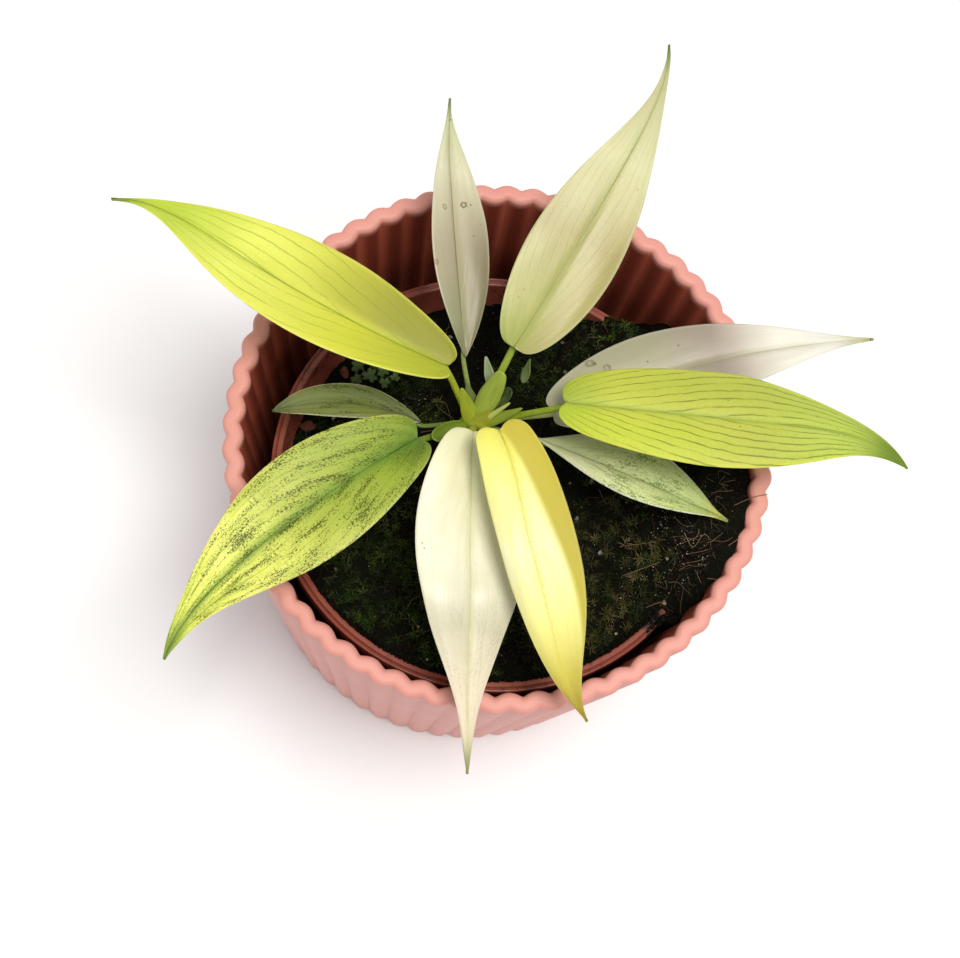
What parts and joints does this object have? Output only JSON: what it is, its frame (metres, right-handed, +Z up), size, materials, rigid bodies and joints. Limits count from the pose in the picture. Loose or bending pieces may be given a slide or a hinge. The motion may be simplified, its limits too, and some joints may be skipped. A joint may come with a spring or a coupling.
{
  "type": "potted florida ghost philodendron",
  "caption": "Young florida ghost philodendron with pale variegated lance-shaped leaves in a nursery pot, standing in a round fluted cover pot.",
  "frame": {"origin": "centre of the cover pot's underside", "axes": "+Z up along the cover pot's axis, +Y away from the viewer of the picture, +X to the viewer's right"},
  "size_m": [0.2005, 0.1804, 0.1471],
  "materials": {
    "coral_pot": "matte",
    "brown_pot": "satin",
    "peat": "rough",
    "green_stem": "satin",
    "yellow_green_leaf": "satin",
    "grey_white_leaf": "satin",
    "cream_leaf": "satin",
    "white_leaf": "satin",
    "veined_leaf": "satin",
    "pale_speckled_leaf": "satin",
    "yellow_leaf": "satin",
    "cream_white_leaf": "satin",
    "green_speckled_leaf": "satin",
    "grey_green_leaf": "satin"
  },
  "bodies": {
    "root": {"cover_pot": "coral_pot", "nursery_pot": "brown_pot", "potting_mix": "peat", "stem_and_petioles": "green_stem", "leaf_upper_left": "yellow_green_leaf", "leaf_top": "grey_white_leaf", "leaf_upper_right": "cream_leaf", "leaf_right_back": "white_leaf", "leaf_right": "veined_leaf", "leaf_lower_right": "pale_speckled_leaf", "leaf_front_right": "yellow_leaf", "leaf_front": "cream_white_leaf", "leaf_lower_left": "green_speckled_leaf", "leaf_left_small": "grey_green_leaf"}
  },
  "joints": []
}
